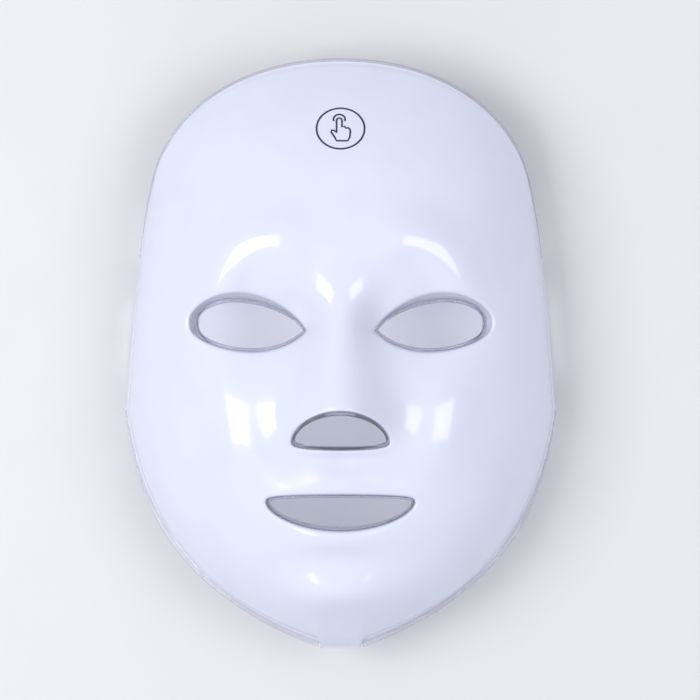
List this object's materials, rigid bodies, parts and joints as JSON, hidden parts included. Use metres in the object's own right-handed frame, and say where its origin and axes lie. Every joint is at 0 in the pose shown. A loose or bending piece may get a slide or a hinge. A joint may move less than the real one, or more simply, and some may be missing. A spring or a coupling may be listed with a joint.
{
  "type": "led face mask",
  "caption": "Rigid light-therapy face mask: glossy white front shell over a clear inner shell, eye, nose and mouth openings, touch key, battery and light boards between.",
  "frame": {"origin": "bottom centre of the bounding box, with the mask lying face up", "axes": "+Z out of the face, +Y towards the forehead, +X towards the right of the picture"},
  "size_m": [0.175, 0.2363, 0.0878],
  "materials": {
    "white_shell": "high gloss",
    "clear_shell": "clear polished",
    "ink": "printed",
    "copper": "satin",
    "steel": "satin",
    "green_board": "satin",
    "black_chip": "matte",
    "dark_core": "matte",
    "chip_ceramic": "satin",
    "ivory_socket": "satin",
    "white_plastic": "satin",
    "foil": "satin",
    "foam": "matte",
    "red_wire": "satin",
    "amber_flex": "satin",
    "white_board": "satin",
    "light_body": "satin"
  },
  "bodies": {
    "root": {"outer_shell": "white_shell", "inner_shell": "clear_shell", "touch_mark": "ink", "touch_pad": "copper", "touch_spring": "steel", "control_board": "green_board", "control_chips": "black_chip", "control_coil": "dark_core", "control_parts": "chip_ceramic", "control_sockets": "ivory_socket", "control_posts": "white_plastic", "control_fixings": "steel", "battery": "foil", "battery_pad": "foam", "battery_guard": "green_board", "battery_lead": "red_wire", "light_board_forehead": "white_board", "light_board_nose": "white_board", "light_board_cheek_left": "white_board", "light_board_cheek_right": "white_board", "light_board_chin": "white_board", "lights_forehead": "light_body", "lights_nose": "light_body", "lights_cheek_left": "light_body", "lights_cheek_right": "light_body", "lights_chin": "light_body", "link_nose": "amber_flex", "link_cheek_left": "amber_flex", "link_cheek_right": "amber_flex", "link_chin_left": "amber_flex", "link_chin_right": "amber_flex", "light_pads": "foam", "light_lead": "amber_flex", "shell_posts": "white_plastic", "shell_screws": "steel", "port_housing": "white_plastic", "port_board": "green_board", "charge_port": "steel", "port_lead": "red_wire"}
  },
  "joints": []
}
